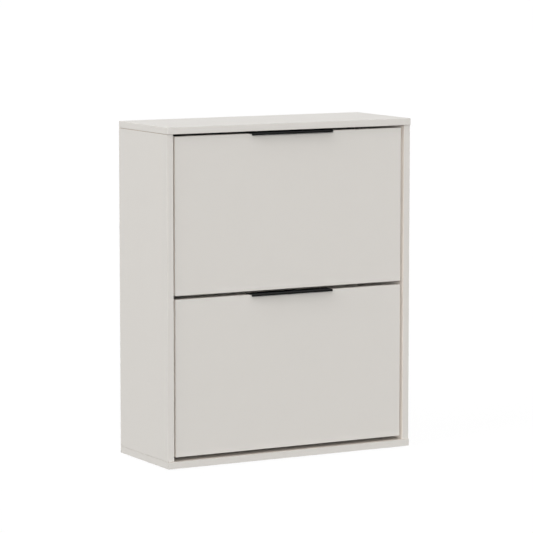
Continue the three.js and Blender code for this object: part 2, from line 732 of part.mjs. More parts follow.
function addRack(flap, flapName) {
  const half = CHEEK_INSIDE - FIT;
  for (const board of RACK) {
    const along = new THREE.Vector2(board.to[0] - board.from[0], board.to[1] - board.from[1]);
    const sheet = new THREE.BoxGeometry(half * 2, along.length(), RACK_BOARD);
    const middle = [0, (board.from[0] + board.to[0]) / 2, (board.from[1] + board.to[1]) / 2];
    const turn = [along.angle(), 0, 0];
    add(flap, `${flapName}_${board.name}`, sheet, BACKING, middle, turn);
  }
}

function addFlap(parent, flapName, doorBottom) {
  const flap = new THREE.Group();
  flap.position.set(0, PIVOT_Y, doorBottom + PIVOT_RISE);
  parent.add(flap);
  add(flap, `${flapName}_door`, door(), CASHMERE);
  add(flap, `${flapName}_handle`, handle(), BLACK_METAL);
  addRack(flap, flapName);
  const rightCheek = cheek();
  const handleScrewY = DOOR_BACK + HANDLE_SHEET + FIT * 2;
  const heights = ["low", "high"];
  for (const side of SIDES) {
    const plate = side.sign > 0 ? rightCheek : mirrored(rightCheek);
    add(flap, `${flapName}_cheek_${side.name}`, plate, BLACK_PLASTIC);
    CHEEK_SCREW_Z.forEach((z, i) => {
      const name = `${flapName}_cheek_screw_${side.name}_${heights[i]}`;
      const place = [side.sign * CHEEK_SCREW_X, FLANGE_REAR + FIT, z];
      add(flap, name, panScrew(), ZINC, place, facing.rearwards);
    });
    const place = [side.sign * HANDLE_SCREW_X, handleScrewY, DOOR_HIGH - HANDLE_SCREW_DROP];
    add(flap, `${flapName}_handle_screw_${side.name}`, panScrew(), ZINC, place, facing.rearwards);
  }
}

// ---------------------------------------------------------------- assembly

const cabinet = new THREE.Group();
const frontmost = DOOR_SETBACK - HANDLE_REACH;
cabinet.position.set(0, -(DEPTH + frontmost) / 2, GLIDE_HEIGHT);

addCarcass(cabinet);
addPivotFittings(cabinet, "lower", LOWER_DOOR_BOTTOM);
addPivotFittings(cabinet, "upper", UPPER_DOOR_BOTTOM);
addFlap(cabinet, "lower", LOWER_DOOR_BOTTOM);
addFlap(cabinet, "upper", UPPER_DOOR_BOTTOM);

export default cabinet;
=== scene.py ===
"""Looks of the shoe cabinet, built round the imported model.

Metres, in the model's frame: +X right, +Y to the wall, +Z up. Profiles of turned fittings
are in millimetres. Colours are linear RGB.
"""

import json
import math

import bmesh
import bpy
from mathutils import Matrix, Vector


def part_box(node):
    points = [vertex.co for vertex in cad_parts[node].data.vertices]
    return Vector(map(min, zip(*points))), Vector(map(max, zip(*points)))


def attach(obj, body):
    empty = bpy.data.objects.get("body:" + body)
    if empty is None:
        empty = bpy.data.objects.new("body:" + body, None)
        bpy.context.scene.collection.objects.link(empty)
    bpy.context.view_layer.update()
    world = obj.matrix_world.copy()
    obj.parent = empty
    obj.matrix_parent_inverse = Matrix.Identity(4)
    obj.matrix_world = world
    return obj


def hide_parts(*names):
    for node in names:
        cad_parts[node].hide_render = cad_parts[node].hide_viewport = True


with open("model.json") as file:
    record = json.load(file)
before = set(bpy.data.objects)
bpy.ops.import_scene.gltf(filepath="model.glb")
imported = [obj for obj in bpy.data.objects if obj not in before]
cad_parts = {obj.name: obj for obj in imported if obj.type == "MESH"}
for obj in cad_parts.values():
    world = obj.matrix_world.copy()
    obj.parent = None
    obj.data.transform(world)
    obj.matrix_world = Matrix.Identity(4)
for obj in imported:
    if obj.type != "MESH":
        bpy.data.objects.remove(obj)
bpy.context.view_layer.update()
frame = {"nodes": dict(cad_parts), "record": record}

MM = 0.001
LEFT, RIGHT = (-1, 0, 0), (1, 0, 0)
FRONT, REAR = (0, -1, 0), (0, 1, 0)
DOWN, UP = (0, 0, -1), (0, 0, 1)
SIDES = (("left", RIGHT), ("right", LEFT))  # each side, and the direction inwards from it
FLAPS = ("lower", "upper")

record = frame["record"]
body_of = {n: body for body, group in record["behaviour"]["bodies"].items() for n in group}


# ---------------------------------------------------------------- camera

CAMERA_AZIMUTH = math.radians(-28.837)
CAMERA_ELEVATION = math.radians(6.782)
CAMERA_DISTANCE = 6.4204
CAMERA_SENSOR = 36  # mm
CAMERA_LENS = 200.32  # mm
AIM_RIGHT = -0.0543  # the aim point, across and up from the middle of the front
AIM_UP = 0.05336


def bearing(azimuth, elevation):
    """Unit vector toward a place round the cabinet. Azimuth 0 is in front, -90 degrees left."""
    return Vector(
        (
            math.sin(azimuth) * math.cos(elevation),
            -math.cos(azimuth) * math.cos(elevation),
            math.sin(elevation),
        )
    )


def add_camera():
    back = bearing(CAMERA_AZIMUTH, CAMERA_ELEVATION)
    right = Vector((math.cos(CAMERA_AZIMUTH), math.sin(CAMERA_AZIMUTH), 0))
    up = back.cross(right)
    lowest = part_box("bottom_panel")[0]
    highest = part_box("top_panel")[1]
    front_middle = Vector((0, lowest.y, (lowest.z + highest.z) / 2))
    aim = front_middle + right * AIM_RIGHT + up * AIM_UP
    data = bpy.data.cameras.new("camera")
    data.sensor_width = CAMERA_SENSOR
    data.lens = CAMERA_LENS
    camera = bpy.data.objects.new("camera", data)
    turn = Matrix((right, up, back)).transposed().to_4x4()
    camera.matrix_world = Matrix.Translation(aim + back * CAMERA_DISTANCE) @ turn
    bpy.context.scene.collection.objects.link(camera)
    bpy.context.scene.camera = camera


# ---------------------------------------------------------------- shader nodes

FACING = 0.7  # a surface faces a direction when its normal reaches this far along it
NOISE_RANGE = (0.3, 0.7)  # where nearly all of a noise texture's values lie


class Shader:
    """A material with short calls for the nodes that colour it."""

    def __init__(self, name, **sockets):
        self.material = bpy.data.materials.new(name)
        self.material.use_nodes = True
        self.tree = self.material.node_tree
        self.surface = self.tree.nodes["Principled BSDF"]
        for socket, value in sockets.items():
            self.surface.inputs[socket.replace("_", " ")].default_value = value
        coordinates = self.tree.nodes.new("ShaderNodeTexCoord").outputs
        self.place = coordinates["Object"]
        self.facing = coordinates["Normal"]

    def put(self, socket, value):
        if isinstance(value, bpy.types.NodeSocket):
            self.tree.links.new(value, socket)
        else:
            socket.default_value = value

    def stretched(self, factors):
        """Coordinates scaled along each axis, for grain that runs one way."""
        mapping = self.tree.nodes.new("ShaderNodeMapping")
        self.put(mapping.inputs["Vector"], self.place)
        mapping.inputs["Scale"].default_value = factors
        return mapping.outputs["Vector"]

    def noise(self, scale, detail, vector=None):
        node = self.tree.nodes.new("ShaderNodeTexNoise")
        self.put(node.inputs["Vector"], vector or self.place)
        node.inputs["Scale"].default_value = scale
        node.inputs["Detail"].default_value = detail
        return node.outputs["Fac"]

    def cells(self, scale, output, vector=None):
        node = self.tree.nodes.new("ShaderNodeTexVoronoi")
        self.put(node.inputs["Vector"], vector or self.place)
        node.inputs["Scale"].default_value = scale
        return node.outputs[output]

    def spread(self, value, low=0, high=1, source=NOISE_RANGE):
        """A value in the source range, spread over low to high."""
        node = self.tree.nodes.new("ShaderNodeMapRange")
        self.put(node.inputs["Value"], value)
        node.inputs["From Min"].default_value = source[0]
        node.inputs["From Max"].default_value = source[1]
        node.inputs["To Min"].default_value = low
        node.inputs["To Max"].default_value = high
        return node.outputs["Result"]

    def compute(self, operation, *values):
        """A Math node, such as compute("MULTIPLY", a, b)."""
        node = self.tree.nodes.new("ShaderNodeMath")
        node.operation = operation
        for socket, value in zip(node.inputs, values):
            self.put(socket, value)
        return node.outputs[0]

    def raised(self, value, height):
        """Relief that follows a value, up to a height in millimetres."""
        return self.compute("MULTIPLY", value, height)

    def faces(self, direction, both_ways=False):
        """1 where the surface faces a direction, or its opposite too, and 0 elsewhere."""
        node = self.tree.nodes.new("ShaderNodeVectorMath")
        node.operation = "DOT_PRODUCT"
        self.put(node.inputs[0], self.facing)
        node.inputs[1].default_value = direction
        toward = node.outputs["Value"]
        if both_ways:
            toward = self.compute("ABSOLUTE", toward)
        return self.compute("GREATER_THAN", toward, FACING)

    def depth_in(self, low, high):
        """Distance in from the nearest face of a box, in metres."""
        parts = self.tree.nodes.new("ShaderNodeSeparateXYZ")
        self.put(parts.inputs[0], self.place)
        distances = []
        for axis in range(3):
            offset = self.compute("SUBTRACT", parts.outputs[axis], (low[axis] + high[axis]) / 2)
            reach = (high[axis] - low[axis]) / 2
            inwards = self.compute("SUBTRACT", reach, self.compute("ABSOLUTE", offset))
            distances.append(inwards)
        nearest = self.compute("MINIMUM", distances[0], distances[1])
        return self.compute("MINIMUM", nearest, distances[2])

    def mixed(self, kind, factor, first, second):
        """A Mix node. Its kind is the type of its sockets, RGBA or VALUE."""
        node = self.tree.nodes.new("ShaderNodeMix")
        node.data_type = "RGBA" if kind == "RGBA" else "FLOAT"
        self.put(node.inputs["Factor"], factor)
        for name, value in (("A", first), ("B", second)):
            ends = [s for s in node.inputs if s.name == name and s.type == kind]
            self.put(ends[0], value)
        return next(s for s in node.outputs if s.type == kind)

    def blend(self, factor, *colours):
        """A colour between two colours."""
        sockets = bpy.types.NodeSocket
        ends = [c if isinstance(c, sockets) else (*c, 1) for c in colours]
        return self.mixed("RGBA", factor, *ends)

    def either(self, factor, first, second):
        """A look between two looks."""
        return (
            self.blend(factor, first[0], second[0]),
            self.mixed("VALUE", factor, first[1], second[1]),
            self.mixed("VALUE", factor, first[2], second[2]),
        )

    def wear(self, look):
        """Takes a look: a colour, a roughness and a relief in millimetres."""
        colour, roughness, relief = look
        self.put(self.surface.inputs["Base Color"], colour)
        self.put(self.surface.inputs["Roughness"], roughness)
        node = self.tree.nodes.new("ShaderNodeBump")
        node.inputs["Strength"].default_value = 1.0
        node.inputs["Distance"].default_value = MM
        self.put(node.inputs["Height"], relief)
        self.tree.links.new(node.outputs["Normal"], self.surface.inputs["Normal"])
        return self.material


# ---------------------------------------------------------------- materials

CASHMERE = (0.625, 0.603, 0.570)  # the boards' outer faces and bands
LINING_WITH_PAINTED_LIGHT = (0.700, 0.645, 0.585)  # the carcass boards' inner faces, a shade warmer and lighter than the outer faces: painted bounce light, so the gaps look lit
DOOR_BAND_WITH_PAINTED_LIGHT = (0.715, 0.668, 0.612)  # the bands on the doors, a shade lighter and warmer than the board: painted bounce light, so the gaps beside the doors look lit
GRAPHITE = (0.085, 0.082, 0.078)  # print on the thin boards


def shade(colour, factor):
    return tuple(channel * factor for channel in colour)


def melamine(shader, tint):
    """Matt melamine face: an even colour with a faint mottle and a fine pearl texture."""
    cloud = shader.spread(shader.noise(22, 2))
    speck = shader.spread(shader.noise(1400, 1))
    clouded = shader.blend(cloud, shade(tint, 0.994), shade(tint, 1.006))
    colour = shader.blend(speck, clouded, shade(tint, 0.985))
    roughness = shader.spread(shader.noise(260, 3), 0.44, 0.52)
    return colour, roughness, shader.raised(shader.noise(1900, 2), 0.012)


def edge_band(shader, tint):
    """ABS edge band: the tint it is given, a little smoother, with fine lines along it. The doors
    get a lighter, warmer tint: painted bounce light.
    """
    lines = shader.noise(900, 2, shader.stretched((1, 1, 0.03)))
    colour = shader.blend(shader.spread(lines), shade(tint, 0.99), shade(tint, 1.002))
    relief = shader.raised(shader.noise(1200, 2), 0.008)
    return colour, shader.spread(lines, 0.40, 0.47), relief


def chipboard(shader):
    """Sawn chipboard: flakes of light and dark wood, rough, with small pits."""
    flakes = shader.cells(420, "Color", shader.stretched((0.55, 0.55, 1.4)))
    tone = shader.spread(flakes, source=(0, 1))
    wood = shader.blend(tone, (0.36, 0.235, 0.125), (0.60, 0.43, 0.26))
    grain = shader.spread(shader.noise(2600, 3), 0, 0.5)
    colour = shader.blend(grain, wood, (0.22, 0.135, 0.07))
    return colour, 0.85, shader.raised(shader.noise(1300, 4), 0.25)


def printed_board(shader):
    """Printed face of a thin fibreboard: dark, with the fibres just showing through."""
    fibres = shader.spread(shader.noise(700, 5, shader.stretched((1, 0.5, 0.5))))
    colour = shader.blend(fibres, shade(GRAPHITE, 0.9), shade(GRAPHITE, 1.08))
    return colour, shader.spread(fibres, 0.50, 0.62), shader.raised(fibres, 0.02)


def raw_fibreboard(shader):
    """Bare side and edges of a thin fibreboard: brown, with a matted fibre pattern."""
    mat = shader.spread(shader.noise(320, 6))
    fleck = shader.spread(shader.noise(2400, 2), 0, 0.6)
    brown = shader.blend(mat, (0.235, 0.140, 0.075), (0.330, 0.210, 0.120))
    colour = shader.blend(fleck, brown, (0.150, 0.085, 0.045))
    return colour, 0.78, shader.raised(shader.noise(900, 4), 0.05)


def powder_coat():
    """Matt black powder coat on sheet metal, with its fine dry texture."""
    shader = Shader("black_powder_coat", Specular_IOR_Level=0.22)
    grit = shader.noise(2600, 2)
    dark, light = (0.0085, 0.0088, 0.0092), (0.0125, 0.0128, 0.0132)
    colour = shader.blend(shader.spread(grit), dark, light)
    return shader.wear((colour, shader.spread(grit, 0.46, 0.58), shader.raised(grit, 0.03)))


def black_plastic():
    """Moulded black plastic with a spark-eroded texture."""
    shader = Shader("black_plastic", Specular_IOR_Level=0.4)
    grain = shader.cells(1500, "Distance")
    tone = shader.spread(shader.noise(60, 2))
    colour = shader.blend(tone, (0.017, 0.017, 0.018), (0.024, 0.024, 0.025))
    roughness = shader.spread(grain, 0.42, 0.55, source=(0, 0.7))
    return shader.wear((colour, roughness, shader.raised(grain, 0.03)))


def nylon():
    """Natural nylon: milky and waxy."""
    shader = Shader("natural_nylon", Subsurface_Weight=0.15, Subsurface_Scale=1.5 * MM)
    tone = shader.spread(shader.noise(180, 3))
    colour = shader.blend(tone, (0.70, 0.68, 0.62), (0.78, 0.76, 0.71))
    relief = shader.raised(shader.noise(700, 2), 0.02)
    return shader.wear((colour, shader.spread(shader.noise(500, 2), 0.34, 0.46), relief))


def plated(name, dark, light, smoothest):
    """Zinc-plated metal with the cloudy tone and faint scratches of bulk hardware."""
    shader = Shader(name, Metallic=1.0)
    cloud = shader.spread(shader.noise(240, 4))
    scratches = shader.noise(1500, 3, shader.stretched((0.08, 1, 1)))
    roughness = shader.spread(scratches, smoothest, smoothest + 0.16)
    relief = shader.raised(scratches, 0.015)
    return shader.wear((shader.blend(cloud, dark, light), roughness, relief))


MATERIALS = {
    "powder_coat": powder_coat(),
    "plastic": black_plastic(),
    "nylon": nylon(),
    "zinc": plated("zinc_die_cast", (0.36, 0.37, 0.38), (0.50, 0.51, 0.52), 0.34),
    "steel": plated("bright_plated_steel", (0.50, 0.51, 0.52), (0.64, 0.65, 0.66), 0.22),
}


# ---------------------------------------------------------------- mesh tools

SMOOTH_ANGLE = math.radians(32)  # faces that meet flatter than this shade as one surface
ON_AXIS = 1e-6  # mm, a smaller radius is a point on the axis
LEVEL = 1e-7  # metres, edges whose ends differ less than this in height are level
TURNED_SIDES = 48
CORNER_STEPS = 4  # facets in a turned corner's round
BEND_STEPS = 6  # facets in a bend of sheet metal
END_STEPS = 3  # facets in the round on the end of a sheet
END_ROUND = 0.3  # that round's radius, as a share of the sheet's thickness


def mark_edges(bm):
    """Curved stretches shade smooth, and real edges stay crisp."""
    for edge in bm.edges:
        edge.smooth = edge.is_manifold and edge.calc_face_angle(0) < SMOOTH_ANGLE


def new_piece(name, bm, *materials):
    """An object from a bmesh, which is used up."""
    for face in bm.faces:
        face.smooth = True
    mark_edges(bm)
    mesh = bpy.data.meshes.new(name)
    bm.to_mesh(mesh)
    bm.free()
    for material in materials:
        mesh.materials.append(MATERIALS[material])
    piece = bpy.data.objects.new(name, mesh)
    bpy.context.scene.collection.objects.link(piece)
    return piece


def stand_for(piece, node):
    """The piece takes the CAD node's place and body, and the node is hidden."""
    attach(piece, body_of[node])
    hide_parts(node)


def longest_side(node):
    """The longest side of a node's box, in mm."""
    low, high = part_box(node)
    return max(high - low) / MM


def axis_frame(node, toward):
    """Local +Z along `toward`, starting where the node's box ends on that side."""
    low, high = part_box(node)
    toward = Vector(toward)
    reach = sum(abs(toward[i]) * (high - low)[i] for i in range(3)) / 2
    turn = Vector(UP).rotation_difference(toward).to_matrix().to_4x4()
    return Matrix.Translation((low + high) / 2 + toward * reach) @ turn


def arc_corner(before, corner, after, radius, steps):
    """Points of the round that takes a corner off, tangent to both of its sides."""
    back = (before - corner).normalized()
    ahead = (after - corner).normalized()
    half = back.angle(ahead) / 2
    cut = radius / math.tan(half)
    middle = corner + (back + ahead).normalized() * (radius / math.sin(half))
    start, end = corner + back * cut - middle, corner + ahead * cut - middle
    sweep = start.angle_signed(end)
    points = []
    for step in range(steps + 1):
        angle = -sweep * step / steps
        points.append(middle + Matrix.Rotation(angle, 2) @ start)
    return points


def rounded(corners, steps, closed=True):
    """A flat outline from (u, v, radius) corners. A corner with no radius stays sharp."""
    points = []
    flat = [Vector(corner[:2]) for corner in corners]
    for i, corner in enumerate(corners):
        radius = corner[2] if len(corner) > 2 else 0
        at_end = not closed and i in (0, len(corners) - 1)
        if radius and not at_end:
            before, after = flat[i - 1], flat[(i + 1) % len(flat)]
            points += arc_corner(before, flat[i], after, radius, steps)
        else:
            points.append(flat[i])
    return points


def turned(profile, sides=TURNED_SIDES):
    """A bmesh turned about +Z from its half profile of (radius, height) in mm, axis to axis."""
    bm = bmesh.new()
    rings = []
    for radius, height in rounded(profile, CORNER_STEPS, closed=False):
        if radius < ON_AXIS:
            rings.append([bm.verts.new((0, 0, height * MM))])
            continue
        turns = [2 * math.pi * k / sides for k in range(sides)]
        ring = [(radius * math.cos(t) * MM, radius * math.sin(t) * MM, height * MM) for t in turns]
        rings.append([bm.verts.new(place) for place in ring])
    for lower, upper in zip(rings, rings[1:]):
        for k in range(sides):
            after = (k + 1) % sides
            corners = [lower[k % len(lower)], lower[after % len(lower)]]
            corners += [upper[after % len(upper)], upper[k % len(upper)]]
            bm.faces.new(list(dict.fromkeys(corners)))
    bmesh.ops.recalc_face_normals(bm, faces=bm.faces)
    return bm


def extruded(outline, low, high, end_round=0):
    """A bmesh of an outline in metres, run along +Z, with its ends' edges rounded."""
    bm = bmesh.new()
    start = bm.faces.new([bm.verts.new((u, v, low)) for u, v in outline])
    swept = bmesh.ops.extrude_face_region(bm, geom=[start])["geom"]
    moved = [item for item in swept if isinstance(item, bmesh.types.BMVert)]
    bmesh.ops.translate(bm, verts=moved, vec=(0, 0, high - low))
    bmesh.ops.recalc_face_normals(bm, faces=bm.faces)
    if end_round:
        rims = [e for e in bm.edges if abs(e.verts[0].co.z - e.verts[1].co.z) < LEVEL]
        bmesh.ops.bevel(
            bm, geom=rims, offset=end_round, segments=2, profile=0.5, affect="EDGES"
        )
    return bm


def bent_sheet(path, thickness, bend):
    """Outline of bent sheet metal: a path of corners with bends and rounded ends, in metres."""
    bends = [(*corner, bend) for corner in path[1:-1]]
    middle = rounded([path[0], *bends, path[-1]], BEND_STEPS, closed=False)
    left, right = [], []
    for i, point in enumerate(middle):
        before = middle[max(i - 1, 0)]
        after = middle[min(i + 1, len(middle) - 1)]
        along = (after - before).normalized()
        across = Vector((-along.y, along.x)) * (thickness / 2)
        left.append(point + across)
        right.append(point - across)
    outline = left + right[::-1]
    ends = (0, len(left) - 1, len(left), len(outline) - 1)
    end_round = thickness * END_ROUND
    corners = [(*p, end_round) if i in ends else tuple(p) for i, p in enumerate(outline)]
    return rounded(corners, END_STEPS)


def carved(piece, cutters):
    """Cuts each bmesh out of the piece, for good."""
    for bm in cutters:
        cutter = new_piece("cutter", bm)
        cutter.matrix_world = piece.matrix_world
        modifier = piece.modifiers.new("cut", "BOOLEAN")
        modifier.object = cutter
        modifier.solver = "EXACT"
        bpy.context.view_layer.update()
        graph = bpy.context.evaluated_depsgraph_get()
        mesh = bpy.data.meshes.new_from_object(piece.evaluated_get(graph))
        piece.modifiers.clear()
        piece.data = mesh
        bpy.data.objects.remove(cutter)
    refresh = bmesh.new()
    refresh.from_mesh(piece.data)
    mark_edges(refresh)
    refresh.to_mesh(piece.data)
    refresh.free()


# ---------------------------------------------------------------- carried-over CAD nodes

WELD_REACH = 0.002 * MM
FLAT_ANGLE = math.radians(0.5)  # facets that meet flatter than this are one flat face
EDGE_ANGLE = 50  # degrees, edges sharper than this get their round


def smooth_shading():
    """A node group that turns smooth shading on."""
    group = bpy.data.node_groups.new("smooth_shading", "GeometryNodeTree")
    for direction in ("INPUT", "OUTPUT"):
        group.interface.new_socket("Geometry", in_out=direction, socket_type="NodeSocketGeometry")
    start = group.nodes.new("NodeGroupInput")
    smooth = group.nodes.new("GeometryNodeSetShadeSmooth")
    end = group.nodes.new("NodeGroupOutput")
    group.links.new(start.outputs[0], smooth.inputs["Geometry"])
    group.links.new(smooth.outputs["Geometry"], end.inputs[0])
    return group


SMOOTH_SHADING = smooth_shading()


def finished(node, material, rounding, edge_angle=EDGE_ANGLE):
    """A CAD node that stays: its flat faces whole, its sharp edges rounded, a real finish."""
    piece = frame["nodes"][node]
    weld = piece.modifiers.new("weld", "WELD")
    weld.merge_threshold = WELD_REACH
    whole = piece.modifiers.new("whole_faces", "DECIMATE")
    whole.decimate_type = "DISSOLVE"
    whole.angle_limit = FLAT_ANGLE
    edges = piece.modifiers.new("rounded_edges", "BEVEL")
    edges.width = rounding
    edges.segments = 3
    edges.limit_method = "ANGLE"
    edges.angle_limit = math.radians(edge_angle)
    piece.modifiers.new("smooth", "NODES").node_group = SMOOTH_SHADING
    normals = piece.modifiers.new("flat_faces_flat", "WEIGHTED_NORMAL")
    normals.weight = 100
    for slot in piece.material_slots:
        slot.link = "OBJECT"
        slot.material = material


# ---------------------------------------------------------------- boards

BAND_ROUND = 0.8 * MM  # round on banded edges
THIN_ROUND = 0.25 * MM  # round on the edges of thin boards and sheet metal
SKIN = 1.2 * MM  # deeper than this in a board, a face is a groove's or a hole's

# Each board: its node, the direction through its thickness, the direction its inner face
# looks to (a door has none), and the directions its sawn, unbanded edges look to.
BOARDS = (
    ("top_panel", UP, DOWN, (REAR,)),
    ("bottom_panel", UP, UP, (REAR,)),
    ("left_side_panel", RIGHT, RIGHT, (REAR, UP, DOWN)),
    ("right_side_panel", RIGHT, LEFT, (REAR, UP, DOWN)),
    ("back_rail", REAR, FRONT, (RIGHT, LEFT)),
    ("lower_door", REAR, None, ()),
    ("upper_door", REAR, None, ()),
)
RACK_BOARDS = ("front_floor", "divider", "rear_floor", "rear_board")


def board_material(node, thickness, inner_face, sawn):
    """Melamine on a board's two faces, its inner face lighter and warmer with painted bounce
    light; chipboard where it is cut, band on its other edges, lighter and warmer on the doors with
    painted bounce light.
    """
    shader = Shader(f"{node}_board")
    melamine_face = melamine(shader, CASHMERE)
    # Painted bounce light: the inner face is coloured lighter and warmer than the outer face.
    if inner_face:
        lining_with_painted_light = melamine(shader, LINING_WITH_PAINTED_LIGHT)
        melamine_face = shader.either(shader.faces(inner_face), melamine_face, lining_with_painted_light)
    # Painted bounce light: a door's bands are coloured lighter and warmer; the carcass bands keep
    # the board's colour.
    band = edge_band(shader, CASHMERE if inner_face else DOOR_BAND_WITH_PAINTED_LIGHT)
    covered = shader.either(shader.faces(thickness, both_ways=True), band, melamine_face)
    cut = shader.compute("GREATER_THAN", shader.depth_in(*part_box(node)), SKIN)
    for direction in sawn:
        cut = shader.compute("MAXIMUM", cut, shader.faces(direction))
    return shader.wear(shader.either(cut, covered, chipboard(shader)))


def thin_board_material(node, both_sides):
    """A thin board with print on its front or on both sides, and bare fibre elsewhere."""
    faces = frame["nodes"][node].data.polygons
    across = max(faces, key=lambda face: face.area).normal.copy()
    if across.y > 0:
        across.negate()
    shader = Shader(f"{node}_board")
    printed = shader.faces(across, both_sides)
    return shader.wear(shader.either(printed, raw_fibreboard(shader), printed_board(shader)))


def add_boards():
    for node, thickness, inner_face, sawn in BOARDS:
        finished(node, board_material(node, thickness, inner_face, sawn), BAND_ROUND)
    finished("back_panel", thin_board_material("back_panel", both_sides=False), THIN_ROUND)
    for flap in FLAPS:
        for part in RACK_BOARDS:
            node = f"{flap}_{part}"
            finished(node, thin_board_material(node, both_sides=True), THIN_ROUND)


# ---------------------------------------------------------------- handles

HANDLE_SHEET = 1.5 * MM
HANDLE_BEND = 1.6 * MM  # bend radius, at the middle of the sheet
HANDLE_LIP = 3 * MM  # lip below the door's top edge
HANDLE_END_ROUND = 0.3 * MM  # round on the edges of the handle's two ends
HOLE_RADIUS = 2.0  # mm, the screw holes
HOLE_REACH = 8  # mm, how far a hole's cutter runs to either side of the screw's head
HOLE_SIDES = 32


def along_x(bm):
    """Turns an extrusion of a (y, z) outline from +Z to +X."""
    turn = Matrix(((0, 0, 1), (1, 0, 0), (0, 1, 0))).to_4x4()
    bmesh.ops.transform(bm, matrix=turn, verts=bm.verts)
    return bm


def screw_hole(node):
    """A cutter along a screw's own axis, through the sheet under its head."""
    corners = [(HOLE_RADIUS, -HOLE_REACH), (HOLE_RADIUS, HOLE_REACH)]
    hole = turned([(0, -HOLE_REACH), *corners, (0, HOLE_REACH)], HOLE_SIDES)
    bmesh.ops.transform(hole, matrix=axis_frame(node, REAR), verts=hole.verts)
    return hole


def add_handle(flap):
    node = f"{flap}_handle"
    low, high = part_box(node)
    half = HANDLE_SHEET / 2
    lip_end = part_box(f"{flap}_door")[1].z - HANDLE_LIP
    path = [
        (low.y + half, lip_end),
        (low.y + half, high.z - half),
        (high.y - half, high.z - half),
        (high.y - half, low.z),
    ]
    outline = bent_sheet(path, HANDLE_SHEET, HANDLE_BEND)
    bm = along_x(extruded(outline, low.x, high.x, HANDLE_END_ROUND))
    piece = new_piece(f"{node}_fine", bm, "powder_coat")
    carved(piece, [screw_hole(f"{flap}_handle_screw_{side}") for side, _ in SIDES])
    stand_for(piece, node)


# ---------------------------------------------------------------- turned fittings

# Half profiles in mm: radius, height and, where a corner is rounded, its radius. Each
# starts at the middle of the end that is seen and runs down to the far end.
PAN_UNDERSIDE = -2.0  # of the head
PAN_HEAD = [
    (0, 0), (1.6, 0), (3.0, -0.45, 0.8), (3.5, -1.3, 0.4), (3.5, PAN_UNDERSIDE, 0.15),
]
PAN_SHANK = 1.7  # radius of the shank
PAN_POINT = 3  # length of the point
BUSH = [
    (0, -9.8), (4.1, -9.8), (4.1, 0, 0.3), (10, 0, 0.6), (10, -2, 0.2),
    (6, -2), (6, -11, 0.4), (0, -11),
]
CAM = [(0, 0), (5.9, 0), (6.2, -0.4), (7.2, -0.4, 0.2), (7.2, -11.5, 0.3), (0, -11.5)]
BASE_SCREW = [
    (0, 0), (5, 0, 0.3), (5, -1, 0.2), (3.2, -5), (3.2, -13.5, 0.3),
    (2.4, -15, 0.3), (2.4, -44, 0.5), (0, -48),
]
GLIDE = [
    (0, 0), (10.6, 0, 1.2), (12, -1.6, 0.6), (12, -2.7, 0.3),
    (1, -2.7), (1, -11), (0, -13),
]
PEG_RADIUS = 4

# Drive recesses in mm: size across and depth.
PAN_RECESS = (3.6, 1.3)
CAM_RECESS = (7.6, 2.5)
HEXAGON_RECESS = (2.1, 3)  # from the middle to a corner, and depth
CUTTER_PROUD = 0.5  # mm, how far a recess's cutter stands out of the head
CROSS_SLIMNESS = 9  # a cross recess's length over half the width of its arms
CROSS_TAPER = 0.72  # size of a cross recess at its bottom, as a share of the top's


def cross_recess(size, depth):
    """A cross-shaped cutter in mm, tapering to its bottom, centred on +Z."""
    bm = bmesh.new()
    arm, half = size / 2, size / CROSS_SLIMNESS
    quarter = [Vector(p) for p in ((arm, half), (half, half), (half, arm))]
    points = []
    for k in range(4):
        points += [Matrix.Rotation(math.pi / 2 * k, 2) @ p for p in quarter]
    taper = CROSS_TAPER
    upper = [bm.verts.new((u * MM, v * MM, CUTTER_PROUD * MM)) for u, v in points]
    lower = [bm.verts.new((u * taper * MM, v * taper * MM, -depth * MM)) for u, v in points]
    bm.faces.new(upper)
    bm.faces.new(lower[::-1])
    for k in range(len(points)):
        after = (k + 1) % len(points)
        bm.faces.new([upper[k], lower[k], lower[after], upper[after]])
    bmesh.ops.recalc_face_normals(bm, faces=bm.faces)
    return bm


def hexagon_recess(radius, depth):
    """A hexagonal cutter in mm, centred on +Z."""
    turns = [math.pi / 3 * k for k in range(6)]
    outline = [Vector((math.cos(t), math.sin(t))) * radius * MM for t in turns]
    return extruded(outline, -depth * MM, CUTTER_PROUD * MM)


def add_turned(node, toward, profile, material, cutters=()):
    piece = new_piece(f"{node}_fine", turned(profile), material)
    carved(piece, cutters)
    piece.matrix_world = axis_frame(node, toward)
    stand_for(piece, node)


def add_pan_screw(node, toward):
    length = longest_side(node)
    shank = [(PAN_SHANK, PAN_UNDERSIDE), (PAN_SHANK, PAN_POINT - length, 0.5), (0, -length)]
    add_turned(node, toward, PAN_HEAD + shank, "zinc", [cross_recess(*PAN_RECESS)])


def add_stop_peg(node, toward):
    length = longest_side(node)
    peg = [(0, 0), (PEG_RADIUS, 0, 0.7), (PEG_RADIUS, -length, 0.3), (0, -length)]
    add_turned(node, toward, peg, "steel")


def add_fittings():
    for flap in FLAPS:
        for side, inwards in SIDES:
            for height in ("low", "high"):
                add_pan_screw(f"{flap}_cheek_screw_{side}_{height}", REAR)
            add_pan_screw(f"{flap}_handle_screw_{side}", REAR)
            add_turned(f"{flap}_pivot_bush_{side}", inwards, BUSH, "nylon")
            add_stop_peg(f"{flap}_stop_peg_{side}", inwards)
    for side, inwards in SIDES:
        add_pan_screw(f"wall_bracket_screw_{side}", inwards)
        finished(f"wall_bracket_{side}", MATERIALS["steel"], THIN_ROUND)
        for end in ("front", "rear"):
            cross = [cross_recess(*CAM_RECESS)]
            add_turned(f"cam_lock_{end}_{side}", inwards, CAM, "zinc", cross)
            hexagon = [hexagon_recess(*HEXAGON_RECESS)]
            add_turned(f"base_screw_{end}_{side}", DOWN, BASE_SCREW, "zinc", hexagon)
            add_turned(f"glide_{end}_{side}", DOWN, GLIDE, "plastic")


# ---------------------------------------------------------------- cheeks

